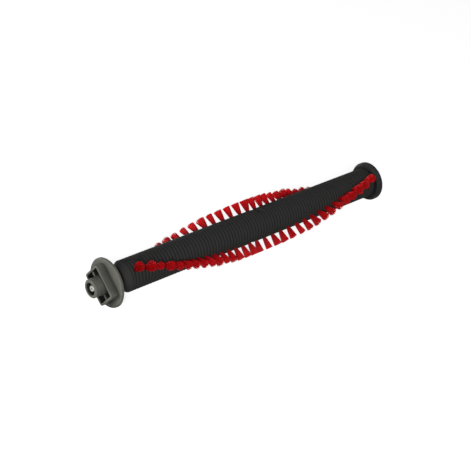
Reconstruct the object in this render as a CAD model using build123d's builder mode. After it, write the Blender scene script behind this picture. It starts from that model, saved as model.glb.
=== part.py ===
from build123d import *
import math
import os

os.makedirs("parts", exist_ok=True)

# Vacuum agitator brush, millimetres. X runs along the roller from the left end to the right end.
# Z is up, and the origin lies under the middle of the roller at floor level.

# Lengths along the roller, from left to right
nose_length = 13.7
left_flange_thickness = 2.9
belt_gap = 6.8
neck_length = 4.5
barrel_length = 263.6
cap_gap = 0.4
bevel_length = 2.7
right_rim_length = 3.0
boss_length = 8.0

# Barrel
barrel_radius = 12.5
barrel_chamfer_length = 2.0
barrel_chamfer_depth = 2.2
washer_recess_depth = 0.8
washer_recess_radius = 6.8

# Ring grooves round the barrel: every fourth one, the finer rings between them are surface texture
ring_count = 22
ring_width = 1.4
ring_depth = 0.6

# Bristle rows, each a V of two half-rows. Angles are measured from the front side upward,
# at the middle and at the ends of the barrel; a lead above 1 steepens the row toward the ends.
row_margin = 8.8
short_half_count = 15
long_half_count = 16
row_end_angle = 44.0
row_middle_angle = -54.0
row_lead = 1.19
half_turn = 180.0
tuft_sides = 8
tuft_root_radius = 1.35
tuft_tip_radius = 2.2
tuft_tip_reach = 21.8
tuft_hole_radius = 1.5
tuft_hole_floor = 6.0
notch_wall = 0.4
notch_span = 20.0
notch_floor = 8.8
notch_angle = -62.0

# Wire staple across the fold of each tuft
anchor_length = 2.3
anchor_thickness = 0.4
anchor_height = 1.8
anchor_lift = 0.8
anchor_clearance = 0.05

# Axle and its clips
axle_radius = 2.5
axle_end_recess = 1.0
axle_end_chamfer = 0.5
centre_mark_radius = 0.6
centre_mark_depth = 1.0
groove_radius = 2.05
groove_width = 0.9
clip_thickness = 0.8
clip_radius = 4.2
clip_slot = 3.0
clip_clearance = 0.05
clip_play = 0.6

# Bearings and seals
bearing_clearance = 0.05
bush_radius = 4.95
bush_seat_radius = 5.0
left_bush_length = 6.0
right_bush_length = 5.0
web_bore_radius = 3.6
left_web_thickness = 1.7
right_web_thickness = 1.5
felt_pocket_depth = 2.0
felt_pocket_radius = 5.6
felt_thickness = 1.9
felt_radius = 5.5
felt_bore_radius = 2.8
washer_bore_radius = 2.6
washer_radius = 6.5
left_washer_thickness = 0.6
right_washer_thickness = 1.0

# Left end cap
left_flange_radius = 19.4
left_rim_fillet = 1.2
left_rim_chamfer = 0.8
nose_radius = 7.25
nose_base_radius = 8.8
nose_straight_length = 6.0
nose_end_chamfer = 0.6
frame_length = 26.6
frame_width = 19.4
frame_wall = 1.7
frame_height = 6.5
frame_top_chamfer = 0.4
frame_turn = -47.0
frame_corner_radius = 2.0
frame_inner_corner_radius = 0.6
frame_rib_thickness = 2.2
frame_rib_drop = 1.0
pocket_floor = 1.0

# Right end cap
right_face_radius = 15.0
right_flange_radius = 16.55
right_rim_chamfer = 0.5
boss_radius = 7.0
boss_end_chamfer = 0.6

# Toothed pulley
pulley_teeth = 20
pulley_tip_radius = 9.2
pulley_groove_depth = 1.2
pulley_groove_mouth = 1.7
pulley_groove_root = 1.1
pulley_play = 1.0
spigot_length = 4.0
spigot_flats = 10.0
spigot_clearance = 0.05
pulley_bore_clearance = 0.1

# Places that follow from the sizes
right_cap_length = bevel_length + right_rim_length + boss_length
left_part_length = nose_length + left_flange_thickness + belt_gap + neck_length
overall_length = left_part_length + barrel_length + cap_gap + right_cap_length
axis_height = left_flange_radius
nose_end_x = -overall_length / 2
left_face_x = nose_end_x + nose_length
left_back_x = left_face_x + left_flange_thickness
neck_left_x = left_back_x + belt_gap
barrel_left_x = neck_left_x + neck_length
barrel_right_x = barrel_left_x + barrel_length
right_face_x = barrel_right_x + cap_gap
right_rim_x = right_face_x + bevel_length
right_back_x = right_rim_x + right_rim_length
boss_end_x = right_back_x + boss_length
barrel_middle_x = (barrel_left_x + barrel_right_x) / 2
tuft_pitch = (barrel_length - row_margin * 2) / (short_half_count + long_half_count - 1)
apex_shift = (long_half_count - short_half_count) * tuft_pitch / 2 + tuft_pitch / 4
notch_width = tuft_pitch - (tuft_hole_radius + notch_wall) * 2
ring_pitch = barrel_length / ring_count
left_web_x = left_back_x - felt_pocket_depth - left_web_thickness
left_bush_x = left_web_x - left_bush_length
right_web_x = right_face_x + felt_pocket_depth
right_seat_x = right_web_x + right_web_thickness
right_bush_end_x = right_seat_x + right_bush_length
left_groove_x = left_bush_x - clip_play - groove_width
right_groove_x = right_bush_end_x + clip_play
pulley_left_x = left_back_x + pulley_play
axle_left_x = nose_end_x + axle_end_recess
axle_right_x = boss_end_x - axle_end_recess
neck_radius = barrel_radius - barrel_chamfer_depth
roller_axis = Axis((0, 0, axis_height), (1, 0, 0))


def across(x):
    """Plane square to the roller at x, looking along +X, with its own X toward +Y."""
    return Plane(origin=(x, 0, axis_height), x_dir=(0, 1, 0), z_dir=(1, 0, 0))


def radial(x, angle, distance):
    """Plane square to the ray that leaves the axis at x under the given angle."""
    turn = math.radians(angle)
    ray_y = -math.cos(turn)
    ray_z = math.sin(turn)
    spot = (x, distance * ray_y, axis_height + distance * ray_z)
    return Plane(origin=spot, x_dir=(1, 0, 0), z_dir=(0, ray_y, ray_z))


def half_row(apex_x, side, count, turn, distance):
    """Planes of one half-row, counted from the apex; side is -1 for left and 1 for right."""
    sweep = row_end_angle - row_middle_angle
    planes = []
    for number in range(count):
        x = apex_x + side * (number + 0.5) * tuft_pitch
        share = abs(x - barrel_middle_x) / (barrel_length / 2)
        angle = row_middle_angle + sweep * share**row_lead + turn
        planes.append(radial(x, angle, distance))
    return planes


front_apex_x = barrel_middle_x - apex_shift
rear_apex_x = barrel_middle_x + apex_shift


def front_left(distance):
    return half_row(front_apex_x, -1, short_half_count, 0, distance)


def front_right(distance):
    return half_row(front_apex_x, 1, long_half_count, 0, distance)


def rear_left(distance):
    return half_row(rear_apex_x, -1, long_half_count, half_turn, distance)


def rear_right(distance):
    return half_row(rear_apex_x, 1, short_half_count, half_turn, distance)


half_rows = {
    "front_left": front_left,
    "front_right": front_right,
    "rear_left": rear_left,
    "rear_right": rear_right,
}
tuft_length = tuft_tip_reach - tuft_hole_floor
tuft_straight = barrel_radius - tuft_hole_floor

# Barrel with a plain neck at its left end. Its tuft holes are eight-sided like the tufts,
# which keeps the facets few.
with BuildPart() as barrel:
    with BuildSketch(across(barrel_left_x)):
        Circle(barrel_radius)
    extrude(amount=barrel_length)
    left_edge = barrel.edges().filter_by(GeomType.CIRCLE).sort_by(Axis.X)[0]
    chamfer(left_edge, length=barrel_chamfer_length, length2=barrel_chamfer_depth)
    with BuildSketch(across(neck_left_x)):
        Circle(neck_radius)
    extrude(amount=neck_length)
    with BuildSketch(Plane.XZ):
        with Locations((barrel_middle_x, axis_height + barrel_radius)):
            with GridLocations(ring_pitch, ring_pitch, ring_count, 1):
                Polygon((-ring_width, ring_depth), (0, -ring_depth), (ring_width, ring_depth), align=None)
    revolve(axis=roller_axis, mode=Mode.SUBTRACT)
    with BuildSketch(across(neck_left_x)):
        Circle(axle_radius)
    extrude(amount=neck_length + barrel_length, mode=Mode.SUBTRACT)
    with BuildSketch(across(neck_left_x)):
        RegularPolygon(spigot_flats / 2 + spigot_clearance, 6, major_radius=False)
    extrude(amount=spigot_length + spigot_clearance, mode=Mode.SUBTRACT)
    with BuildSketch(across(barrel_right_x)):
        Circle(washer_recess_radius)
    extrude(amount=-washer_recess_depth, mode=Mode.SUBTRACT)
    with BuildSketch(*front_left(tuft_hole_floor), *front_right(tuft_hole_floor)):
        RegularPolygon(tuft_hole_radius, tuft_sides)
    extrude(amount=tuft_length, mode=Mode.SUBTRACT)
    with BuildSketch(*rear_left(tuft_hole_floor), *rear_right(tuft_hole_floor)):
        RegularPolygon(tuft_hole_radius, tuft_sides)
    extrude(amount=tuft_length, mode=Mode.SUBTRACT)
    with BuildSketch(radial(front_apex_x, notch_angle, notch_floor)):
        Rectangle(notch_width, notch_span)
    extrude(amount=barrel_radius, mode=Mode.SUBTRACT)
    with BuildSketch(radial(rear_apex_x, notch_angle + half_turn, notch_floor)):
        Rectangle(notch_width, notch_span)
    extrude(amount=barrel_radius, mode=Mode.SUBTRACT)
barrel.part.label = "barrel"
export_step(barrel.part, "parts/barrel.step")

# Toothed pulley with a six-sided spigot that drives the barrel
with BuildPart() as belt_pulley:
    with BuildSketch(across(pulley_left_x)):
        Circle(pulley_tip_radius)
    extrude(amount=belt_gap - pulley_play)
    with BuildSketch(across(pulley_left_x)):
        with PolarLocations(pulley_tip_radius - pulley_groove_depth, pulley_teeth):
            Polygon(
                (0, -pulley_groove_root / 2),
                (0, pulley_groove_root / 2),
                (pulley_groove_depth, pulley_groove_mouth / 2),
                (pulley_groove_depth * 2, pulley_groove_mouth / 2),
                (pulley_groove_depth * 2, -pulley_groove_mouth / 2),
                (pulley_groove_depth, -pulley_groove_mouth / 2),
                align=None,
            )
    extrude(amount=belt_gap, mode=Mode.SUBTRACT)
    with BuildSketch(across(neck_left_x)):
        RegularPolygon(spigot_flats / 2, 6, major_radius=False)
    extrude(amount=spigot_length)
    with BuildSketch(across(pulley_left_x)):
        Circle(axle_radius + pulley_bore_clearance)
    extrude(amount=belt_gap + spigot_length, mode=Mode.SUBTRACT)
belt_pulley.part.label = "belt_pulley"
export_step(belt_pulley.part, "parts/belt_pulley.step")

# Steel axle with a clip groove near each end
with BuildPart() as axle:
    with BuildSketch(across(axle_left_x)):
        Circle(axle_radius)
    extrude(amount=axle_right_x - axle_left_x)
    end_edges = axle.edges().filter_by(GeomType.CIRCLE)
    chamfer(end_edges, length=axle_end_chamfer)
    with BuildSketch(across(left_groove_x), across(right_groove_x)):
        Circle(axle_radius + axle_radius)
        Circle(groove_radius, mode=Mode.SUBTRACT)
    extrude(amount=groove_width, mode=Mode.SUBTRACT)
    with BuildSketch(across(axle_left_x), across(axle_right_x - centre_mark_depth)):
        Circle(centre_mark_radius)
    extrude(amount=centre_mark_depth, mode=Mode.SUBTRACT)
axle.part.label = "axle"
export_step(axle.part, "parts/axle.step")

# Gray left end cap: flange, walled frame, hollow nose, and four pockets sunk between them
with BuildPart() as left_end_cap:
    with BuildSketch(across(left_face_x)):
        Circle(left_flange_radius)
    extrude(amount=left_flange_thickness)
    rim_edges = left_end_cap.edges().filter_by(GeomType.CIRCLE).sort_by(Axis.X)
    fillet(rim_edges[0], radius=left_rim_fillet)
    back_edge = left_end_cap.edges().filter_by(GeomType.CIRCLE).sort_by(Axis.X)[-1]
    chamfer(back_edge, length=left_rim_chamfer)
    with BuildSketch(across(left_face_x)):
        with Locations(Rotation(0, 0, half_turn - frame_turn)):
            RectangleRounded(frame_length, frame_width, frame_corner_radius)
            RectangleRounded(
                frame_length - frame_wall * 2,
                frame_width - frame_wall * 2,
                frame_inner_corner_radius,
                mode=Mode.SUBTRACT,
            )
    extrude(amount=-frame_height)
    frame_top = left_end_cap.faces().sort_by(Axis.X)[0]
    chamfer(frame_top.edges(), length=frame_top_chamfer)
    with BuildSketch(across(nose_end_x)):
        Circle(nose_radius)
    extrude(amount=nose_length)
    with BuildSketch(across(nose_end_x + nose_straight_length)):
        Circle(nose_radius)
    with BuildSketch(across(left_face_x)):
        Circle(nose_base_radius)
    loft()
    with BuildSketch(across(left_face_x)):
        with Locations(Rotation(0, 0, half_turn - frame_turn)):
            Rectangle(frame_length - frame_wall, frame_rib_thickness)
    extrude(amount=frame_rib_drop - frame_height)
    with BuildSketch(across(left_face_x)):
        with Locations(Rotation(0, 0, half_turn - frame_turn)):
            RectangleRounded(
                frame_length - frame_wall * 2,
                frame_width - frame_wall * 2,
                frame_inner_corner_radius,
            )
            Rectangle(frame_length, frame_rib_thickness, mode=Mode.SUBTRACT)
        Circle(nose_base_radius, mode=Mode.SUBTRACT)
    extrude(amount=left_flange_thickness - pocket_floor, mode=Mode.SUBTRACT)
    nose_edge = left_end_cap.edges().filter_by(GeomType.CIRCLE).sort_by(Axis.X)[0]
    chamfer(nose_edge, length=nose_end_chamfer)
    with BuildSketch(across(nose_end_x)):
        Circle(bush_seat_radius)
    extrude(amount=left_web_x - nose_end_x, mode=Mode.SUBTRACT)
    with BuildSketch(across(nose_end_x)):
        Circle(web_bore_radius)
    extrude(amount=left_back_x - nose_end_x, mode=Mode.SUBTRACT)
    with BuildSketch(across(left_back_x)):
        Circle(felt_pocket_radius)
    extrude(amount=-felt_pocket_depth, mode=Mode.SUBTRACT)
left_end_cap.part.label = "left_end_cap"
export_step(left_end_cap.part, "parts/left_end_cap.step")

# Black right end cap: bevelled flange and a short boss
with BuildPart() as right_end_cap:
    with BuildSketch(across(right_face_x)):
        Circle(right_face_radius)
    with BuildSketch(across(right_rim_x)):
        Circle(right_flange_radius)
    loft()
    with BuildSketch(across(right_rim_x)):
        Circle(right_flange_radius)
    extrude(amount=right_rim_length)
    back_edge = right_end_cap.edges().filter_by(GeomType.CIRCLE).sort_by(Axis.X)[-1]
    chamfer(back_edge, length=right_rim_chamfer)
    with BuildSketch(across(right_back_x)):
        Circle(boss_radius)
    extrude(amount=boss_length)
    boss_edge = right_end_cap.edges().filter_by(GeomType.CIRCLE).sort_by(Axis.X)[-1]
    chamfer(boss_edge, length=boss_end_chamfer)
    with BuildSketch(across(right_seat_x)):
        Circle(bush_seat_radius)
    extrude(amount=boss_end_x - right_seat_x, mode=Mode.SUBTRACT)
    with BuildSketch(across(right_face_x)):
        Circle(web_bore_radius)
    extrude(amount=right_cap_length, mode=Mode.SUBTRACT)
    with BuildSketch(across(right_face_x)):
        Circle(felt_pocket_radius)
    extrude(amount=felt_pocket_depth, mode=Mode.SUBTRACT)
right_end_cap.part.label = "right_end_cap"
export_step(right_end_cap.part, "parts/right_end_cap.step")

# Bearing bushes
with BuildPart() as left_bush:
    with BuildSketch(across(left_bush_x)):
        Circle(bush_radius)
        Circle(axle_radius + bearing_clearance, mode=Mode.SUBTRACT)
    extrude(amount=left_bush_length)
left_bush.part.label = "left_bush"
export_step(left_bush.part, "parts/left_bush.step")

with BuildPart() as right_bush:
    with BuildSketch(across(right_seat_x)):
        Circle(bush_radius)
        Circle(axle_radius + bearing_clearance, mode=Mode.SUBTRACT)
    extrude(amount=right_bush_length)
right_bush.part.label = "right_bush"
export_step(right_bush.part, "parts/right_bush.step")

# Felt dust rings
with BuildPart() as left_felt_seal:
    with BuildSketch(across(left_web_x + left_web_thickness)):
        Circle(felt_radius)
        Circle(felt_bore_radius, mode=Mode.SUBTRACT)
    extrude(amount=felt_thickness)
left_felt_seal.part.label = "left_felt_seal"
export_step(left_felt_seal.part, "parts/left_felt_seal.step")

with BuildPart() as right_felt_seal:
    with BuildSketch(across(right_web_x)):
        Circle(felt_radius)
        Circle(felt_bore_radius, mode=Mode.SUBTRACT)
    extrude(amount=-felt_thickness)
right_felt_seal.part.label = "right_felt_seal"
export_step(right_felt_seal.part, "parts/right_felt_seal.step")

# Thrust washers
with BuildPart() as left_thrust_washer:
    with BuildSketch(across(pulley_left_x)):
        Circle(washer_radius)
        Circle(washer_bore_radius, mode=Mode.SUBTRACT)
    extrude(amount=-left_washer_thickness)
left_thrust_washer.part.label = "left_thrust_washer"
export_step(left_thrust_washer.part, "parts/left_thrust_washer.step")

with BuildPart() as right_thrust_washer:
    with BuildSketch(across(barrel_right_x - washer_recess_depth)):
        Circle(washer_radius)
        Circle(washer_bore_radius, mode=Mode.SUBTRACT)
    extrude(amount=right_washer_thickness)
right_thrust_washer.part.label = "right_thrust_washer"
export_step(right_thrust_washer.part, "parts/right_thrust_washer.step")

# Spring clips, open at one side, that bear on the outer wall of their groove
with BuildPart() as left_retaining_clip:
    with BuildSketch(across(left_groove_x)):
        Circle(clip_radius)
        Circle(groove_radius + clip_clearance, mode=Mode.SUBTRACT)
        with Locations((clip_radius, 0)):
            Rectangle(clip_radius * 2, clip_slot, mode=Mode.SUBTRACT)
    extrude(amount=clip_thickness)
left_retaining_clip.part.label = "left_retaining_clip"
export_step(left_retaining_clip.part, "parts/left_retaining_clip.step")

with BuildPart() as right_retaining_clip:
    with BuildSketch(across(right_groove_x + groove_width)):
        Circle(clip_radius)
        Circle(groove_radius + clip_clearance, mode=Mode.SUBTRACT)
        with Locations((-clip_radius, 0)):
            Rectangle(clip_radius * 2, clip_slot, mode=Mode.SUBTRACT)
    extrude(amount=-clip_thickness)
right_retaining_clip.part.label = "right_retaining_clip"
export_step(right_retaining_clip.part, "parts/right_retaining_clip.step")

# Bristle tufts: a straight root in the hole, a flared free end, and a window for the staple
for row_name, planes_at in half_rows.items():
    with BuildPart() as bristles:
        with BuildSketch(*planes_at(tuft_hole_floor)):
            RegularPolygon(tuft_root_radius, tuft_sides)
        extrude(amount=tuft_straight)
        for root_plane, tip_plane in zip(planes_at(barrel_radius), planes_at(tuft_tip_reach)):
            with BuildSketch(root_plane):
                RegularPolygon(tuft_root_radius, tuft_sides)
            with BuildSketch(tip_plane):
                RegularPolygon(tuft_tip_radius, tuft_sides)
            loft(ruled=True)
        with BuildSketch(*planes_at(tuft_hole_floor + anchor_lift)):
            Rectangle(tuft_hole_radius * 2, anchor_thickness + anchor_clearance * 2)
        extrude(amount=anchor_height + anchor_clearance, mode=Mode.SUBTRACT)
    bristles.part.label = f"bristles_{row_name}"
    export_step(bristles.part, f"parts/bristles_{row_name}.step")

# Wire staples, one in the fold of each tuft
for row_name, planes_at in half_rows.items():
    with BuildPart() as anchors:
        with BuildSketch(*planes_at(tuft_hole_floor + anchor_lift)):
            Rectangle(anchor_length, anchor_thickness)
        extrude(amount=anchor_height)
    anchors.part.label = f"anchors_{row_name}"
    export_step(anchors.part, f"parts/anchors_{row_name}.step")
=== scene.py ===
import math

import bmesh
import bpy
import numpy as np
from bpy.props import FloatProperty, FloatVectorProperty, IntProperty, PointerProperty
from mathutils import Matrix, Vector


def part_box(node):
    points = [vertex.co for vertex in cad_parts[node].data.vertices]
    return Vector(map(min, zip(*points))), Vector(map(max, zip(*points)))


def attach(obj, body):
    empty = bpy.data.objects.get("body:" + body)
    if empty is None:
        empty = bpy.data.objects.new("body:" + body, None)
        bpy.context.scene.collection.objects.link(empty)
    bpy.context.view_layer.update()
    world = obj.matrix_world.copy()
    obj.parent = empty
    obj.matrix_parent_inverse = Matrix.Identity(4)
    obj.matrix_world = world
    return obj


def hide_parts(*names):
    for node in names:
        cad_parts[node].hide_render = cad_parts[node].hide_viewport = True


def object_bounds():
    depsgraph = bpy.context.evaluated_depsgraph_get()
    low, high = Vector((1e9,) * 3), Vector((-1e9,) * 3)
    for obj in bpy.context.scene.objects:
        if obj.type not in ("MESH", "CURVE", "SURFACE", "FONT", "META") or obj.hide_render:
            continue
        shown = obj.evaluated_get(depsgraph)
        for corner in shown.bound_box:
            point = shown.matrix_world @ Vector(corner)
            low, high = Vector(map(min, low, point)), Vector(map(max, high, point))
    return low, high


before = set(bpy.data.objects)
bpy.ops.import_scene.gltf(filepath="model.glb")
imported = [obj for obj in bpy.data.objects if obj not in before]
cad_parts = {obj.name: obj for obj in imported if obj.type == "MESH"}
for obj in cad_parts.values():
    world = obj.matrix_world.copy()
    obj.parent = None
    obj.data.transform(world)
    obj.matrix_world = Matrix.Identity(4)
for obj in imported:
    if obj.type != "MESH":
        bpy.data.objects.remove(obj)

bl_info = {
    "name": "Vacuum Agitator Brush",
    "version": (1, 0, 0),
    "blender": (4, 5, 0),
    "location": "3D View > Sidebar > Brush",
    "description": "Dresses the packed roller with ring ribs, nylon filaments and moulded finishes",
    "category": "Object",
}

# The frame gives the places, in metres. The roller's axis lies along X.
MM = 0.001
CAD_LOW, CAD_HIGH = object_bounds()
BARREL_LOW, BARREL_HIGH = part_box("barrel")
AXIS_Z = (BARREL_LOW.z + BARREL_HIGH.z) / 2
BARREL_RADIUS = (BARREL_HIGH.z - BARREL_LOW.z) / 2
AXLE_LOW, AXLE_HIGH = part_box("axle")
AXLE_RADIUS = (AXLE_HIGH.z - AXLE_LOW.z) / 2
BRISTLE_NODES = (
    "bristles_front_left",
    "bristles_front_right",
    "bristles_rear_left",
    "bristles_rear_right",
)

# Where the barrel is cut, as the solids have it
NECK_LENGTH = 4.5 * MM
CHAMFER_LENGTH = 2.0 * MM
CHAMFER_DEPTH = 2.2 * MM
WASHER_RECESS_DEPTH = 0.8 * MM
WASHER_RECESS_RADIUS = 6.8 * MM
SPIGOT_FLATS = 10.1 * MM
SPIGOT_DEPTH = 4.05 * MM
HOLE_RADIUS = 1.5 * MM
HOLE_FLOOR = 6.0 * MM
NOTCH_WIDTH = 4.4 * MM
NOTCH_SPAN = 20.0 * MM
NOTCH_FLOOR = 8.8 * MM
NOTCH_ANGLE = math.radians(-62)
STAPLE_HALF = 0.25 * MM
BODY_LEFT = BARREL_LOW.x + NECK_LENGTH
BODY_LENGTH = BARREL_HIGH.x - BODY_LEFT

# One rib along its pitch: a share of the pitch, and the drop below the crest as a share of the depth
RIB_PROFILE = (
    (0.15, 1.0),
    (0.30, 0.35),
    (0.42, 0.0),
    (0.58, 0.0),
    (0.70, 0.35),
    (0.85, 1.0),
    (1.00, 1.0),
)
# The same for the rise from the last groove to the plain land at each end of the barrel
END_PROFILE = (
    (0.10, 1.0),
    (0.20, 0.35),
    (0.28, 0.0),
)
# Vertices this near to each other are in one place
TOUCH = 1e-5
# The tools that cut the barrel stand out past its ribs
TOOL_REACH = BARREL_RADIUS * 1.2
HOLE_SIDES = 20
# Edges flatter than these are shaded round
RIB_SMOOTH_DEGREES = 50
FILAMENT_SMOOTH_DEGREES = 60

# A filament has few sides, and few steps from the fold in its hole to its cut end
FILAMENT_SIDES = 5
FILAMENT_STEPS = 4
# Where the two middle steps lie between the barrel and the cut end, and how the strand curves outward
MIDDLE_STEPS = (0.3, 0.65)
CURVE_POWER = 0.85
# Each ring of a tuft's packing holds this many more filaments than the one inside it
RING_STEP = 6
# Random spreads: a tuft's width as a share, then its lean and each tip's stray in millimetres
WIDTH_DRAW = 0.12
LEAN_DRAW_MM = 0.35
STRAY_DRAW_MM = 0.16

# Most of a noise texture's values lie between these two
NOISE_LOW = 0.3
NOISE_HIGH = 0.7
# A wave texture at a scale of one repeats about this often, in metres
WAVE_REPEAT = 0.3
# Height of the grain of a moulded surface
GRAIN_HEIGHT = 0.05 * MM
# Painted shade in the corners of a moulding: how far away a wall still makes a corner, how open a place is
# where the painted shade is full and where it ends, and how dark it is beside the plastic
CORNER_SHADE_REACH = 12 * MM
CORNER_SHADE_FULL = 0.3
CORNER_SHADE_ENDS = 0.9
CORNER_SHADE_DARKNESS = 0.06

# The stage, in metres and watts. Each lamp has its name, place, size and power.
FLOOR_SIZE = 8
FLOOR_DROP = 0.02 * MM
FLOOR_GLOW = 0.72
SURROUND_LIGHT = 0.1
SURROUND_SEEN = 1.0
LAMPS = (
    ("key_light", (-1.43, -1.50, 0.77), 0.7, 36),
    ("left_light", (-1.87, 0.66, 0.32), 0.5, 20),
    ("back_light", (0.60, 1.90, 0.20), 0.9, 8),
)
CAMERA_PLACE = (-0.61167, -0.66089, 0.44532)
CAMERA_FORWARD = (0.60620, 0.66757, -0.43229)
CAMERA_LENS = 95.74
CAMERA_SENSOR = 36
CAMERA_NEAR = 0.01


def linear(hex_colour):
    """Turns an sRGB hex colour to the linear colour that a shader takes."""
    parts = [int(hex_colour[i:i + 2], 16) / 255 for i in (0, 2, 4)]
    return tuple(c / 12.92 if c <= 0.04045 else ((c + 0.055) / 1.055) ** 2.4 for c in parts) + (1.0,)


def colour(name, description, hex_colour):
    """A colour that a user may change."""
    return FloatVectorProperty(
        name=name, description=description, subtype="COLOR", size=4, min=0, max=1, default=linear(hex_colour)
    )


def length(name, description, millimetres):
    """A length that a user may change."""
    return FloatProperty(
        name=name, description=description, unit="LENGTH", precision=5, min=0, default=millimetres * MM
    )


class BrushBarrelSizes(bpy.types.PropertyGroup):
    """Sizes of the ring ribs on the barrel."""

    rib_count: IntProperty(
        name="Rib pitches",
        description="Pitches of the ribs along the barrel, of which the first and last are plain lands",
        default=88,
        min=4,
    )
    rib_depth: length("Rib depth", "Height of a rib's crest above its root", 0.6)
    around: IntProperty(name="Segments", description="Faces around the barrel", default=88, min=24)


class BrushBristleSizes(bpy.types.PropertyGroup):
    """Sizes of the nylon filaments."""

    filament_radius: length("Filament radius", "Drawn thicker than nylon so that it shows", 0.16)
    root_radius: length("Root radius", "Radius of a tuft where it leaves the barrel", 1.48)
    tip_radius: length("Tip radius", "Radius of a tuft at its cut end, across its row", 2.8)
    tip_spread: length("Tip spread", "Radius of a tuft at its cut end, along the roller", 3.0)
    root_reach: length("Root reach", "Distance from the axis to the folds in the holes", 6.3)
    end_fan: FloatProperty(
        name="End fan",
        description="How much wider the tufts fan out toward the ends of the roller",
        default=0.4,
        min=0,
    )
    uneven_cut: length("Uneven cut", "Most that a filament is cut short", 0.2)
    end_splay: length("End splay", "How far the outermost tuft of a half-row is pushed outward", 1.6)
    packing_rings: IntProperty(
        name="Packing rings",
        description="Rings of filaments round a tuft's middle one",
        default=6,
        min=2,
    )
    seed: IntProperty(name="Seed", description="Start of the random draws", default=11)


class BrushFinishColours(bpy.types.PropertyGroup):
    """Colours of the plastics and the nylon."""

    barrel: colour("Barrel", "Black polypropylene", "2C2D2C")
    gray_cap: colour("Gray cap", "Gray acetal", "64645D")
    black_cap: colour("Black cap", "Black glass-filled nylon", "2B2C2C")
    pulley: colour("Pulley", "Black acetal", "121212")
    bristle: colour("Bristle", "Red nylon", "D4181E")
    # Painted shade: the filaments' colour at their roots, darker for the shade inside a tuft
    bristle_root_shade: colour("Bristle root", "Red nylon in the shade of its tuft", "7C0810")


def put(tree, kind, inputs=None, **settings):
    """Adds a node with its settings. An input that is given a socket is linked, and any other is set."""
    made = tree.nodes.new(kind)
    for name, value in settings.items():
        setattr(made, name, value)
    for name, value in (inputs or {}).items():
        found = [s for s in made.inputs if name in (s.identifier, s.name)]
        socket = found[0] if found else made.inputs[name]
        if isinstance(value, bpy.types.NodeSocket):
            tree.links.new(value, socket)
        else:
            socket.default_value = value
    return made


def fresh(name):
    """An empty material, its node tree, and a socket that gives the object's own coordinates."""
    made = bpy.data.materials.new(name)
    made.use_nodes = True
    tree = made.node_tree
    tree.nodes.clear()
    place = put(tree, "ShaderNodeTexCoord").outputs["Object"]
    return made, tree, place


def close(tree, shader):
    """Links a finished shader to the material's output."""
    put(tree, "ShaderNodeOutputMaterial", {"Surface": shader.outputs[0]})


def shade(base, level):
    """A colour made darker or lighter."""
    return tuple(min(1, c * level) for c in base[:3]) + (1.0,)


def moulded(name, base, shade_range, cloud_mm, grain_mm, rough_range, ior, gloss):
    """
    A moulded plastic: slow clouds of shade from the melt, a grain that breaks up its gloss, and painted
    shade darkening its corners and recesses. The grain is drawn coarser than a mould's, so that it shows.
    """
    made, tree, place = fresh(name)
    cloud = put(tree, "ShaderNodeTexNoise", {"Vector": place, "Scale": 1 / (cloud_mm * MM), "Detail": 4.0})
    grain = put(tree, "ShaderNodeTexNoise", {"Vector": place, "Scale": 1 / (grain_mm * MM), "Detail": 2.0})
    part = put(
        tree, "ShaderNodeMapRange",
        {"Value": cloud.outputs["Fac"], "From Min": NOISE_LOW, "From Max": NOISE_HIGH},
    )
    tint = put(
        tree, "ShaderNodeMix",
        {
            "Factor_Float": part.outputs["Result"],
            "A_Color": shade(base, shade_range[0]),
            "B_Color": shade(base, shade_range[1]),
        },
        data_type="RGBA",
    )
    # Painted shade: the colour darkens to near black where nearby walls close a place in
    corner = put(tree, "ShaderNodeAmbientOcclusion", {"Distance": CORNER_SHADE_REACH}, samples=8)
    unshaded = put(
        tree, "ShaderNodeMapRange",
        {"Value": corner.outputs["AO"], "From Min": CORNER_SHADE_FULL, "From Max": CORNER_SHADE_ENDS},
    )
    corner_shaded = put(
        tree, "ShaderNodeMix",
        {
            "Factor_Float": unshaded.outputs["Result"],
            "A_Color": shade(base, CORNER_SHADE_DARKNESS),
            "B_Color": tint.outputs[2],
        },
        data_type="RGBA",
    )
    rough = put(
        tree, "ShaderNodeMapRange",
        {
            "Value": grain.outputs["Fac"],
            "From Min": NOISE_LOW,
            "From Max": NOISE_HIGH,
            "To Min": rough_range[0],
            "To Max": rough_range[1],
        },
    )
    relief = put(
        tree, "ShaderNodeBump",
        {"Height": grain.outputs["Fac"], "Strength": 0.25, "Distance": GRAIN_HEIGHT},
    )
    shader = put(
        tree, "ShaderNodeBsdfPrincipled",
        {
            "Base Color": corner_shaded.outputs[2],
            "Roughness": rough.outputs["Result"],
            "Normal": relief.outputs["Normal"],
            "IOR": ior,
            "Specular IOR Level": gloss,
        },
    )
    close(tree, shader)
    return made


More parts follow.
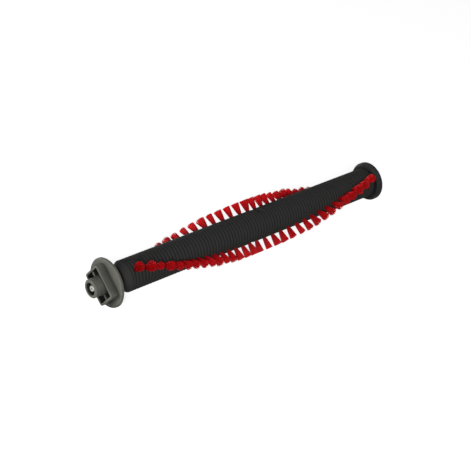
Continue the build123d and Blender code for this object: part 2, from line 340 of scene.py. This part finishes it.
def ribbed_polypropylene(colours, groove_depth):
    """
    Black polypropylene, moulded: matt charcoal ribs in slow clouds of shade, with painted light in the
    grooves between them, a paler charcoal that lifts the shade falling there. The grain is drawn coarser
    than a mould's, so that it shows.
    """
    made, tree, place = fresh("ribbed_black_polypropylene")
    split = put(tree, "ShaderNodeSeparateXYZ", {"Vector": place})
    lower = put(tree, "ShaderNodeMath", {0: split.outputs["Z"], 1: AXIS_Z}, operation="SUBTRACT")
    across = put(tree, "ShaderNodeCombineXYZ", {"Y": split.outputs["Y"], "Z": lower.outputs[0]})
    out = put(tree, "ShaderNodeVectorMath", {0: across.outputs[0]}, operation="LENGTH")
    groove = put(
        tree, "ShaderNodeMapRange",
        {
            "Value": out.outputs["Value"],
            "From Min": BARREL_RADIUS,
            "From Max": BARREL_RADIUS - groove_depth,
        },
    )
    cloud = put(tree, "ShaderNodeTexNoise", {"Vector": place, "Scale": 1 / (9 * MM), "Detail": 5.0})
    grain = put(tree, "ShaderNodeTexNoise", {"Vector": place, "Scale": 1 / (0.6 * MM), "Detail": 2.0})
    body = put(
        tree, "ShaderNodeMix",
        {
            "Factor_Float": cloud.outputs["Fac"],
            "A_Color": shade(colours.barrel, 0.75),
            "B_Color": shade(colours.barrel, 1.25),
        },
        data_type="RGBA",
    )
    # Painted light: the grooves' colour is lifted to a paler charcoal against the shade in them, and the
    # same mask raises their roughness
    groove_light_mask = put(
        tree, "ShaderNodeMath",
        {0: groove.outputs["Result"], 1: grain.outputs["Fac"]},
        operation="MULTIPLY",
    )
    tint = put(
        tree, "ShaderNodeMix",
        {
            "Factor_Float": groove_light_mask.outputs[0],
            "A_Color": body.outputs[2],
            "B_Color": shade(colours.barrel, 2.2),
        },
        data_type="RGBA",
    )
    rough = put(
        tree, "ShaderNodeMapRange",
        {"Value": groove_light_mask.outputs[0], "From Max": 0.7, "To Min": 0.55, "To Max": 0.8},
    )
    relief = put(
        tree, "ShaderNodeBump",
        {"Height": grain.outputs["Fac"], "Strength": 0.2, "Distance": GRAIN_HEIGHT},
    )
    shader = put(
        tree, "ShaderNodeBsdfPrincipled",
        {
            "Base Color": tint.outputs[2],
            "Roughness": rough.outputs["Result"],
            "Normal": relief.outputs["Normal"],
            "IOR": 1.49,
            "Specular IOR Level": 0.02,
        },
    )
    close(tree, shader)
    return made


def turned_metal(name, hex_colour, groove_mm, rough_range):
    """
    A turned, drawn or pressed metal: rings along X, brighter and duller by turns, and a smear in its shade.
    The rings are drawn coarser than a tool's marks, so that they show.
    """
    made, tree, place = fresh(name)
    ring = put(
        tree, "ShaderNodeTexWave",
        {"Vector": place, "Scale": WAVE_REPEAT / (groove_mm * MM), "Distortion": 1.5, "Detail": 2.0},
        bands_direction="X",
    )
    smear = put(tree, "ShaderNodeTexNoise", {"Vector": place, "Scale": 1 / (2.0 * MM), "Detail": 3.0})
    base = linear(hex_colour)
    tint = put(
        tree, "ShaderNodeMix",
        {"Factor_Float": smear.outputs["Fac"], "A_Color": shade(base, 0.8), "B_Color": shade(base, 1.1)},
        data_type="RGBA",
    )
    rough = put(
        tree, "ShaderNodeMapRange",
        {"Value": ring.outputs["Fac"], "To Min": rough_range[0], "To Max": rough_range[1]},
    )
    shader = put(
        tree, "ShaderNodeBsdfPrincipled",
        {"Base Color": tint.outputs[2], "Roughness": rough.outputs["Result"], "Metallic": 1.0},
    )
    close(tree, shader)
    return made


def red_nylon(colours):
    """Drawn red nylon filament: each strand has its own shade, darkened toward the root by painted shade of
    the tuft's inside, and a faint gloss.
    """
    made, tree, place = fresh("red_nylon_filament")
    strand = put(tree, "ShaderNodeAttribute", attribute_name="strand_shade")
    along = put(tree, "ShaderNodeAttribute", attribute_name="along_strand")
    own = put(
        tree, "ShaderNodeMix",
        {
            "Factor_Float": strand.outputs["Fac"],
            "A_Color": shade(colours.bristle, 0.78),
            "B_Color": shade(colours.bristle, 1.18),
        },
        data_type="RGBA",
    )
    # Painted shade: toward the root each strand's colour blends into the darker root colour
    reach = put(
        tree, "ShaderNodeMapRange",
        {"Value": along.outputs["Fac"], "From Min": 0.35, "From Max": 0.85},
    )
    tint = put(
        tree, "ShaderNodeMix",
        {
            "Factor_Float": reach.outputs["Result"],
            "A_Color": tuple(colours.bristle_root_shade),
            "B_Color": own.outputs[2],
        },
        data_type="RGBA",
    )
    fleck = put(tree, "ShaderNodeTexNoise", {"Vector": place, "Scale": 1 / (0.8 * MM), "Detail": 2.0})
    rough = put(
        tree, "ShaderNodeMapRange",
        {
            "Value": fleck.outputs["Fac"],
            "From Min": NOISE_LOW,
            "From Max": NOISE_HIGH,
            "To Min": 0.38,
            "To Max": 0.55,
        },
    )
    shader = put(
        tree, "ShaderNodeBsdfPrincipled",
        {
            "Base Color": tint.outputs[2],
            "Roughness": rough.outputs["Result"],
            "IOR": 1.53,
            "Specular IOR Level": 0.1,
        },
    )
    close(tree, shader)
    return made


def wool_felt():
    """Pressed gray wool felt: matted fibres, no gloss. The fibres are drawn coarser than wool, to show."""
    made, tree, place = fresh("pressed_wool_felt")
    fibre = put(
        tree, "ShaderNodeTexNoise",
        {"Vector": place, "Scale": 1 / (0.5 * MM), "Detail": 6.0, "Distortion": 1.2},
    )
    base = linear("A59E90")
    tint = put(
        tree, "ShaderNodeMix",
        {"Factor_Float": fibre.outputs["Fac"], "A_Color": shade(base, 0.7), "B_Color": shade(base, 1.15)},
        data_type="RGBA",
    )
    relief = put(
        tree, "ShaderNodeBump",
        {"Height": fibre.outputs["Fac"], "Strength": 0.6, "Distance": 0.15 * MM},
    )
    shader = put(
        tree, "ShaderNodeBsdfPrincipled",
        {
            "Base Color": tint.outputs[2],
            "Normal": relief.outputs["Normal"],
            "Roughness": 0.95,
            "Sheen Weight": 0.3,
        },
    )
    close(tree, shader)
    return made


def finish_node(node, material):
    """Gives a CAD node its finish in every slot that it has."""
    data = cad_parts[node].data
    if not data.materials:
        data.materials.append(material)
    for number in range(len(data.materials)):
        data.materials[number] = material


def dress(piece, material, *nodes, body, slot):
    """Gives a new piece its finish and the body it rides on, and hides the CAD nodes it stands for."""
    piece.data.materials.clear()
    piece.data.materials.append(material)
    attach(piece, body)
    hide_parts(*nodes)


def nothing_selected():
    """Leaves edit mode and drops every selection, so that an operator acts on the new piece alone."""
    if bpy.context.object and bpy.context.object.mode != "OBJECT":
        bpy.ops.object.mode_set(mode="OBJECT")
    bpy.ops.object.select_all(action="DESELECT")


def only(piece):
    """Makes one piece selected and active."""
    nothing_selected()
    piece.select_set(True)
    bpy.context.view_layer.objects.active = piece


def named(name):
    """Names the piece that an operator has just made, and puts its place in its mesh."""
    piece = bpy.context.object
    piece.name = name
    piece.data.name = name
    bpy.ops.object.transform_apply(location=True, rotation=True, scale=True)
    return piece


def apply_all(piece):
    """Applies each modifier of a piece in turn."""
    only(piece)
    for modifier in list(piece.modifiers):
        bpy.ops.object.modifier_apply(modifier=modifier.name)


def smooth(piece, degrees):
    """Rounds the shading over edges that are flatter than the angle."""
    only(piece)
    bpy.ops.object.shade_smooth_by_angle(angle=math.radians(degrees))


def pick_ring(piece, x, radius):
    """Selects the ring of vertices at a place along the roller and a distance from its axis."""
    mesh = bmesh.from_edit_mesh(piece.data)
    bpy.ops.mesh.select_mode(type="VERT")
    bpy.ops.mesh.select_all(action="DESELECT")
    for vertex in mesh.verts:
        out = math.hypot(vertex.co.y, vertex.co.z - AXIS_Z)
        vertex.select = abs(vertex.co.x - x) < TOUCH and abs(out - radius) < TOUCH
    mesh.select_flush(True)
    bmesh.update_edit_mesh(piece.data)


def pull_ring(x, radius, stations):
    """Extrudes the selected ring through a list of (x, radius) stations."""
    for next_x, next_radius in stations:
        bpy.ops.mesh.extrude_region_move(TRANSFORM_OT_translate={"value": (next_x - x, 0, 0)})
        scale = next_radius / radius
        bpy.ops.transform.resize(value=(1, scale, scale), center_override=(next_x, 0, AXIS_Z))
        x, radius = next_x, next_radius


def tufts_of(node):
    """Finds a node's tufts by the gaps between them along X: the place, outward ray and reach of each."""
    points = np.array([v.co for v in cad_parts[node].data.vertices])
    points = points[np.argsort(points[:, 0])]
    gaps = np.where(np.diff(points[:, 0]) > HOLE_RADIUS)[0] + 1
    found = []
    for tuft in np.split(points, gaps):
        x = (tuft[0, 0] + tuft[-1, 0]) / 2
        out = tuft - np.array((x, 0, AXIS_Z))
        ray = Vector((0, out[:, 1].mean(), out[:, 2].mean())).normalized()
        found.append((x, ray, (out @ np.array(ray)).max()))
    return found


def apex_of(left_node, right_node):
    """The place along the roller where the two half-rows of a row meet."""
    return (tufts_of(left_node)[-1][0] + tufts_of(right_node)[0][0]) / 2


class BRUSH_OT_ribbed_barrel(bpy.types.Operator):
    """Model the barrel with its ring ribs, tuft holes and apex notches"""

    bl_idname = "brush.ribbed_barrel"
    bl_label = "Ribbed barrel"

    def execute(self, context):
        sizes = context.scene.brush_barrel
        depth = sizes.rib_depth
        crest = BARREL_RADIUS
        root = crest - depth
        neck = crest - CHAMFER_DEPTH
        pitch = BODY_LENGTH / sizes.rib_count
        first_x = BODY_LEFT + pitch
        last_x = BARREL_HIGH.x - pitch

        # One rib, drawn along from a ring at its root
        nothing_selected()
        bpy.ops.mesh.primitive_circle_add(
            vertices=sizes.around, radius=root, location=(first_x, 0, AXIS_Z), rotation=(0, math.pi / 2, 0)
        )
        barrel = named("ribbed_barrel")
        bpy.ops.object.mode_set(mode="EDIT")
        bpy.ops.mesh.select_all(action="SELECT")
        rib = [(first_x + share * pitch, crest - depth * drop) for share, drop in RIB_PROFILE]
        pull_ring(first_x, root, rib)
        bpy.ops.object.mode_set(mode="OBJECT")

        # The rib repeats along the barrel
        row = barrel.modifiers.new("ribs", "ARRAY")
        row.count = sizes.rib_count - 2
        row.use_relative_offset = False
        row.use_constant_offset = True
        row.constant_offset_displace = (pitch, 0, 0)
        row.use_merge_vertices = True
        row.merge_threshold = TOUCH
        apply_all(barrel)

        # The ends: a plain land at each, the left chamfer and neck, the axle's bore and the washer's recess
        bpy.ops.object.mode_set(mode="EDIT")
        pick_ring(barrel, first_x, root)
        recess_x = BARREL_HIGH.x - WASHER_RECESS_DEPTH
        left_end = [(first_x - share * pitch, crest - depth * drop) for share, drop in END_PROFILE]
        left_end += [
            (BODY_LEFT + CHAMFER_LENGTH, crest),
            (BODY_LEFT, neck),
            (BARREL_LOW.x, neck),
            (BARREL_LOW.x, AXLE_RADIUS),
            (recess_x, AXLE_RADIUS),
            (recess_x, WASHER_RECESS_RADIUS),
            (BARREL_HIGH.x, WASHER_RECESS_RADIUS),
        ]
        pull_ring(first_x, root, left_end)
        pick_ring(barrel, last_x, root)
        right_end = [(last_x + share * pitch, crest - depth * drop) for share, drop in END_PROFILE]
        right_end += [(BARREL_HIGH.x, crest)]
        pull_ring(last_x, root, right_end)

        # The right face closes the barrel between the land and the washer's recess
        bpy.ops.mesh.select_mode(type="EDGE")
        bpy.ops.mesh.select_all(action="DESELECT")
        bpy.ops.mesh.select_non_manifold()
        bpy.ops.mesh.bridge_edge_loops()
        bpy.ops.mesh.select_all(action="SELECT")
        bpy.ops.mesh.normals_make_consistent(inside=False)
        bpy.ops.object.mode_set(mode="OBJECT")

        # The holes, the two notches and the pulley's six-sided pocket are cut out together
        cutter = self.cutters()
        cut = barrel.modifiers.new("cuts", "BOOLEAN")
        cut.operation = "DIFFERENCE"
        cut.solver = "MANIFOLD"
        cut.object = cutter
        apply_all(barrel)
        bpy.data.objects.remove(cutter)
        smooth(barrel, RIB_SMOOTH_DEGREES)
        material = ribbed_polypropylene(context.scene.brush_colours, depth)
        dress(barrel, material, "barrel", body="roller", slot="barrel_plastic")
        return {"FINISHED"}

    def cutters(self):
        """Joins every tool that cuts the barrel into one object."""
        made = []
        height = TOOL_REACH - HOLE_FLOOR
        for node in BRISTLE_NODES:
            for x, ray, _ in tufts_of(node):
                middle = ray * (HOLE_FLOOR + height / 2) + Vector((x, 0, AXIS_Z))
                turn = ray.to_track_quat("Z", "Y").to_euler()
                nothing_selected()
                bpy.ops.mesh.primitive_cylinder_add(
                    vertices=HOLE_SIDES, radius=HOLE_RADIUS, depth=height, location=middle, rotation=turn
                )
                made.append(named("hole_tool"))
        front = Vector((0, -math.cos(NOTCH_ANGLE), math.sin(NOTCH_ANGLE)))
        tall = TOOL_REACH - NOTCH_FLOOR
        for rows, ray in ((BRISTLE_NODES[:2], front), (BRISTLE_NODES[2:], -front)):
            middle = ray * (NOTCH_FLOOR + tall / 2) + Vector((apex_of(*rows), 0, AXIS_Z))
            turn = Vector((0, 0, 1)).rotation_difference(ray).to_euler()
            nothing_selected()
            bpy.ops.mesh.primitive_cube_add(size=1, location=middle, rotation=turn)
            bpy.context.object.scale = (NOTCH_WIDTH, NOTCH_SPAN, tall)
            made.append(named("notch_tool"))
        # Half of the pocket's tool stands outside the barrel
        nothing_selected()
        bpy.ops.mesh.primitive_cylinder_add(
            vertices=6,
            radius=SPIGOT_FLATS / math.sqrt(3),
            depth=SPIGOT_DEPTH * 2,
            location=(BARREL_LOW.x, 0, AXIS_Z),
            rotation=(0, math.pi / 2, 0),
        )
        made.append(named("pocket_tool"))
        nothing_selected()
        for tool in made:
            tool.select_set(True)
        bpy.context.view_layer.objects.active = made[0]
        bpy.ops.object.join()
        return bpy.context.object


class BRUSH_OT_bristle_rows(bpy.types.Operator):
    """Model one filament, and plant copies of it as the tufts of the four half-rows"""

    bl_idname = "brush.bristle_rows"
    bl_label = "Bristle rows"

    def execute(self, context):
        sizes = context.scene.brush_bristles
        points, faces = self.filament()
        material = red_nylon(context.scene.brush_colours)
        draws = np.random.default_rng(sizes.seed)
        for node in BRISTLE_NODES:
            piece = self.half_row(node, points, faces, sizes, draws)
            dress(piece, material, node, body="roller", slot="bristle")
        return {"FINISHED"}

    def filament(self):
        """One filament of unit radius and height, drawn up in steps from a ring."""
        nothing_selected()
        bpy.ops.mesh.primitive_circle_add(
            vertices=FILAMENT_SIDES, radius=1, fill_type="NOTHING", location=(0, 0, 0)
        )
        piece = named("one_filament")
        bpy.ops.object.mode_set(mode="EDIT")
        bpy.ops.mesh.select_all(action="SELECT")
        bpy.ops.mesh.edge_face_add()
        for _ in range(FILAMENT_STEPS):
            bpy.ops.mesh.extrude_region_move(TRANSFORM_OT_translate={"value": (0, 0, 1 / FILAMENT_STEPS)})
        bpy.ops.mesh.select_all(action="SELECT")
        bpy.ops.mesh.fill_holes(sides=0)
        bpy.ops.mesh.select_all(action="SELECT")
        bpy.ops.mesh.normals_make_consistent(inside=False)
        bpy.ops.object.mode_set(mode="OBJECT")
        points = np.array([v.co for v in piece.data.vertices])
        faces = [tuple(p.vertices) for p in piece.data.polygons]
        bpy.data.objects.remove(piece)
        return points, faces

    def packing(self, rings):
        """Places of the filaments in a tuft of unit radius, in rings round a middle one."""
        spots = [(0.0, 0.0)]
        for ring in range(1, rings + 1):
            held = ring * RING_STEP
            for step in range(held):
                turn = 2 * math.pi * (step + ring % 2 * 0.5) / held
                spots.append((ring / rings * math.cos(turn), ring / rings * math.sin(turn)))
        return np.array(spots)

    def half_row(self, node, points, faces, sizes, draws):
        """Builds the tufts of one half-row as a single mesh."""
        spots = self.packing(sizes.packing_rings)
        stations = np.rint(points[:, 2] * FILAMENT_STEPS).astype(int)
        tufts = tufts_of(node)
        end_x, end_way = (tufts[0][0], -1) if node.endswith("left") else (tufts[-1][0], 1)
        row_length = tufts[-1][0] - tufts[0][0]
        tip = np.array((sizes.tip_spread, sizes.tip_radius)) - sizes.filament_radius
        side = np.array((1.0, 0.0, 0.0))
        places, strand_shade, along_strand = [], [], []
        for x, ray, reach in tufts:
            outward = np.array(ray)
            round_way = np.cross(outward, side)
            fan = 1 + sizes.end_fan * (1 - abs(x - end_x) / row_length)
            spread = draws.normal(1.0, WIDTH_DRAW) * fan
            lean = draws.normal(0.0, LEAN_DRAW_MM, 2) * MM
            if x == end_x:
                lean[0] = end_way * sizes.end_splay
            ring = (points[:, :1] * side + points[:, 1:2] * round_way) * sizes.filament_radius
            for spot in spots:
                # The root lies on one side of the staple's wire or the other
                start = spot * (sizes.root_radius - sizes.filament_radius)
                fold = 1 if start[1] >= 0 else -1
                start[1] = fold * STAPLE_HALF + start[1] * (1 - STAPLE_HALF / sizes.root_radius)
                end = spot * tip * spread + lean
                end = end + draws.normal(0.0, STRAY_DRAW_MM, 2) * MM
                cut = reach - draws.random() * sizes.uneven_cut
                free = cut - BARREL_RADIUS
                middle = [BARREL_RADIUS + free * share for share in MIDDLE_STEPS]
                reaches = np.array((sizes.root_reach, BARREL_RADIUS, *middle, cut))
                bend = np.clip((reaches - BARREL_RADIUS) / free, 0, 1) ** CURVE_POWER
                offsets = start + (end - start) * bend[:, None]
                line = (
                    np.array((x, 0, AXIS_Z))
                    + reaches[:, None] * outward
                    + offsets[:, :1] * side
                    + offsets[:, 1:] * round_way
                )
                places.append(line[stations] + ring)
                strand_shade.append(np.full(len(points), draws.random()))
                along_strand.append((reaches[stations] - sizes.root_reach) / (reach - sizes.root_reach))
        places = np.clip(np.concatenate(places), CAD_LOW, CAD_HIGH)
        copies = len(places) // len(points)
        all_faces = [tuple(v + copy * len(points) for v in face) for copy in range(copies) for face in faces]
        mesh = bpy.data.meshes.new(node.replace("bristles", "filaments"))
        mesh.from_pydata(places.tolist(), [], all_faces)
        for name, values in (("strand_shade", strand_shade), ("along_strand", along_strand)):
            held = mesh.attributes.new(name, "FLOAT", "POINT")
            held.data.foreach_set("value", np.concatenate(values).astype(np.float32))
        piece = bpy.data.objects.new(mesh.name, mesh)
        bpy.context.scene.collection.objects.link(piece)
        smooth(piece, FILAMENT_SMOOTH_DEGREES)
        return piece


class BRUSH_OT_cap_finishes(bpy.types.Operator):
    """Finish the two end caps and the belt pulley as moulded plastics"""

    bl_idname = "brush.cap_finishes"
    bl_label = "Cap finishes"

    def execute(self, context):
        colours = context.scene.brush_colours
        gray_cap = moulded(
            "gray_moulded_acetal", colours.gray_cap, shade_range=(0.9, 1.1), cloud_mm=7, grain_mm=0.5,
            rough_range=(0.5, 0.65), ior=1.48, gloss=0.15,
        )
        black_cap = moulded(
            "black_glass_filled_nylon", colours.black_cap, shade_range=(0.8, 1.3), cloud_mm=5, grain_mm=0.7,
            rough_range=(0.5, 0.68), ior=1.53, gloss=0.06,
        )
        pulley = moulded(
            "black_moulded_acetal", colours.pulley, shade_range=(0.8, 1.2), cloud_mm=5, grain_mm=0.5,
            rough_range=(0.5, 0.65), ior=1.48, gloss=0.1,
        )
        finish_node("left_end_cap", gray_cap)
        finish_node("right_end_cap", black_cap)
        finish_node("belt_pulley", pulley)
        return {"FINISHED"}


class BRUSH_OT_bearing_finishes(bpy.types.Operator):
    """Finish the axle, bushes, seals, washers, clips and staples"""

    bl_idname = "brush.bearing_finishes"
    bl_label = "Bearing finishes"

    def execute(self, context):
        steel = turned_metal("turned_bright_steel", "A9A9A5", groove_mm=0.4, rough_range=(0.25, 0.4))
        bronze = turned_metal("sintered_bronze", "A5763F", groove_mm=0.3, rough_range=(0.35, 0.55))
        felt = wool_felt()
        nylon = moulded(
            "natural_nylon", linear("DAD6C8"), shade_range=(0.94, 1.04), cloud_mm=4, grain_mm=0.4,
            rough_range=(0.35, 0.5), ior=1.53, gloss=0.5,
        )
        clip = turned_metal("blackened_spring_steel", "3A3B3D", groove_mm=0.5, rough_range=(0.35, 0.5))
        wire = turned_metal("galvanised_staple_wire", "9DA0A3", groove_mm=0.4, rough_range=(0.3, 0.5))
        finish_node("axle", steel)
        for side in ("left", "right"):
            finish_node(side + "_bush", bronze)
            finish_node(side + "_felt_seal", felt)
            finish_node(side + "_thrust_washer", nylon)
            finish_node(side + "_retaining_clip", clip)
        for node in BRISTLE_NODES:
            finish_node(node.replace("bristles", "anchors"), wire)
        return {"FINISHED"}


class BRUSH_OT_stage(bpy.types.Operator):
    """Set the pale floor, the soft lights and the camera"""

    bl_idname = "brush.stage"
    bl_label = "Stage"

    def execute(self, context):
        scene = context.scene
        scene.view_settings.view_transform = "Standard"
        nothing_selected()
        bpy.ops.mesh.primitive_plane_add(size=FLOOR_SIZE, location=(0, 0, CAD_LOW.z - FLOOR_DROP))
        floor = named("floor")
        floor.data.materials.append(self.pale_floor())
        self.white_room(scene)
        for name, place, size, power in LAMPS:
            self.lamp(name, place, size, power)
        lens = bpy.data.cameras.new("camera")
        lens.sensor_width = CAMERA_SENSOR
        lens.lens = CAMERA_LENS
        lens.clip_start = CAMERA_NEAR
        camera = bpy.data.objects.new("camera", lens)
        scene.collection.objects.link(camera)
        camera.location = CAMERA_PLACE
        camera.rotation_euler = Vector(CAMERA_FORWARD).to_track_quat("-Z", "Y").to_euler()
        scene.camera = camera
        return {"FINISHED"}

    def seen(self, tree):
        """One where the camera, a mirror or a glass looks, and nothing where the light only falls."""
        path = put(tree, "ShaderNodeLightPath")
        direct = put(
            tree, "ShaderNodeMath",
            {0: path.outputs["Is Camera Ray"], 1: path.outputs["Is Glossy Ray"]},
            operation="MAXIMUM",
        )
        return put(
            tree, "ShaderNodeMath",
            {0: direct.outputs[0], 1: path.outputs["Is Transmission Ray"]},
            operation="MAXIMUM",
        ).outputs[0]

    def pale_floor(self):
        """A matt sweep that looks white and keeps a soft shadow, but throws little light back up."""
        made, tree, _ = fresh("matt_white_floor")
        sweep = put(tree, "ShaderNodeBsdfDiffuse", {"Color": linear("F5F5F5")})
        dim = put(tree, "ShaderNodeBsdfDiffuse", {"Color": linear("5A5A5A")})
        glow = put(tree, "ShaderNodeEmission", {"Color": linear("FFFFFF"), "Strength": FLOOR_GLOW})
        both = put(tree, "ShaderNodeAddShader", {0: sweep.outputs[0], 1: glow.outputs[0]})
        mixed = put(
            tree, "ShaderNodeMixShader",
            {"Fac": self.seen(tree), 1: dim.outputs[0], 2: both.outputs[0]},
        )
        close(tree, mixed)
        return made

    def white_room(self, scene):
        """A surround that looks white, but lights the roller only a little."""
        world = bpy.data.worlds.new("white_room")
        scene.world = world
        world.use_nodes = True
        tree = world.node_tree
        tree.nodes.clear()
        level = put(
            tree, "ShaderNodeMapRange",
            {"Value": self.seen(tree), "To Min": SURROUND_LIGHT, "To Max": SURROUND_SEEN},
        )
        light = put(
            tree, "ShaderNodeBackground",
            {"Color": linear("FFFFFF"), "Strength": level.outputs["Result"]},
        )
        put(tree, "ShaderNodeOutputWorld", {"Surface": light.outputs[0]})

    def lamp(self, name, place, size, power):
        """A square soft light that faces the roller."""
        light = bpy.data.lights.new(name, "AREA")
        light.shape = "SQUARE"
        light.size = size
        light.energy = power
        lamp = bpy.data.objects.new(name, light)
        bpy.context.scene.collection.objects.link(lamp)
        lamp.location = place
        aim = Vector((0, 0, AXIS_Z)) - Vector(place)
        lamp.rotation_euler = aim.to_track_quat("-Z", "Y").to_euler()


class BRUSH_PT_sidebar(bpy.types.Panel):
    """The brush's steps, in the 3D view's sidebar."""

    bl_label = "Agitator Brush"
    bl_idname = "BRUSH_PT_sidebar"
    bl_space_type = "VIEW_3D"
    bl_region_type = "UI"
    bl_category = "Brush"

    def draw(self, context):
        for group in (context.scene.brush_barrel, context.scene.brush_bristles, context.scene.brush_colours):
            for name in group.__annotations__:
                self.layout.prop(group, name)
        for step in STEPS:
            self.layout.operator(step.bl_idname)


GROUPS = {
    "brush_barrel": BrushBarrelSizes,
    "brush_bristles": BrushBristleSizes,
    "brush_colours": BrushFinishColours,
}
STEPS = (
    BRUSH_OT_ribbed_barrel,
    BRUSH_OT_bristle_rows,
    BRUSH_OT_cap_finishes,
    BRUSH_OT_bearing_finishes,
    BRUSH_OT_stage,
)


def register():
    for made in (*GROUPS.values(), *STEPS, BRUSH_PT_sidebar):
        bpy.utils.register_class(made)
    for name, group in GROUPS.items():
        setattr(bpy.types.Scene, name, PointerProperty(type=group))


def unregister():
    for name in GROUPS:
        delattr(bpy.types.Scene, name)
    for made in reversed((*GROUPS.values(), *STEPS, BRUSH_PT_sidebar)):
        bpy.utils.unregister_class(made)


def main():
    register()
    bpy.ops.brush.ribbed_barrel()
    bpy.ops.brush.bristle_rows()
    bpy.ops.brush.cap_finishes()
    bpy.ops.brush.bearing_finishes()
    bpy.ops.brush.stage()


if __name__ == "__main__":
    main()
